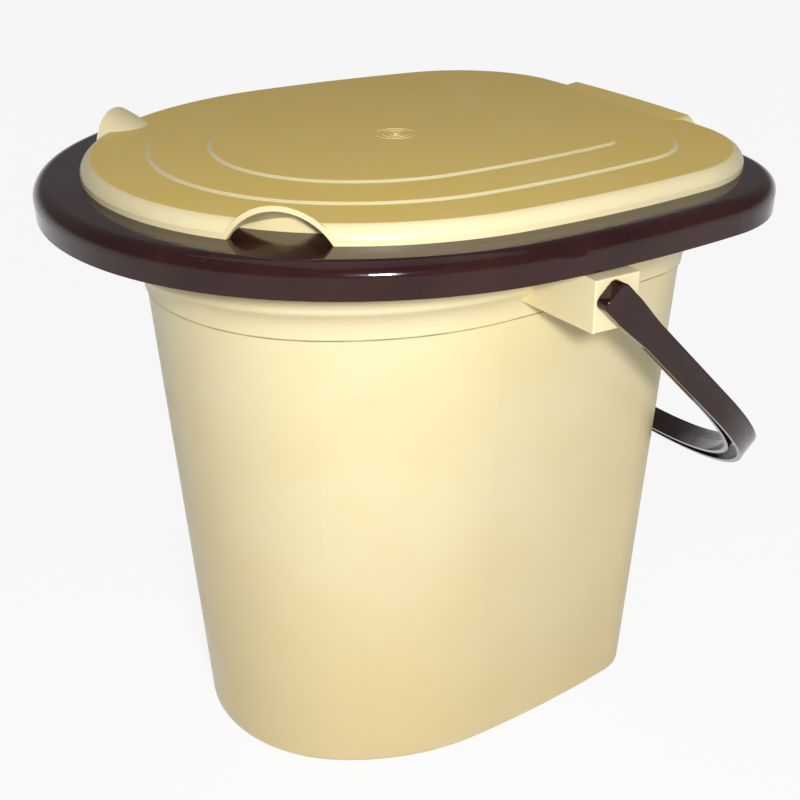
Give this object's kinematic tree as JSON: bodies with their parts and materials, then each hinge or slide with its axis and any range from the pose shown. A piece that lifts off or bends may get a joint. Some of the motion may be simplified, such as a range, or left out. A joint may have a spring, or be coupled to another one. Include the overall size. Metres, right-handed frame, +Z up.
{
  "type": "bucket toilet",
  "caption": "Portable bucket toilet: D-shaped pail with a pressed-on seat ring, a loose lid with finger hoods and a swinging bail handle.",
  "frame": {"origin": "middle of the bucket's underside, on the floor", "axes": "+Z up; X along the axis of the bail's pegs; -Y towards the round front, +Y towards the flat back"},
  "size_m": [0.4022, 0.4162, 0.3876],
  "materials": {
    "pail_plastic": "glossy cream",
    "seat_plastic": "glossy dark brown",
    "lid_plastic": "glossy cream",
    "handle_plastic": "glossy dark brown"
  },
  "bodies": {
    "bucket": {"bucket": "pail_plastic"},
    "seat_ring": {"seat_ring": "seat_plastic"},
    "lid": {"lid": "lid_plastic"},
    "handle": {"handle": "handle_plastic"}
  },
  "joints": [
    {"name": "bail_swing", "type": "hinge", "parent": "bucket", "child": "handle", "pos_m": [0, 0.0156, 0.332], "axis": [1, 0, 0], "range_deg": [-8, 271]},
    {"name": "seat_lift", "type": "slide", "parent": "bucket", "child": "seat_ring", "axis": [0, 0, 1], "range_m": [0, 0.05]},
    {"name": "lid_lift", "type": "slide", "parent": "seat_ring", "child": "lid", "axis": [0, 0, 1], "range_m": [0, 0.12]}
  ]
}
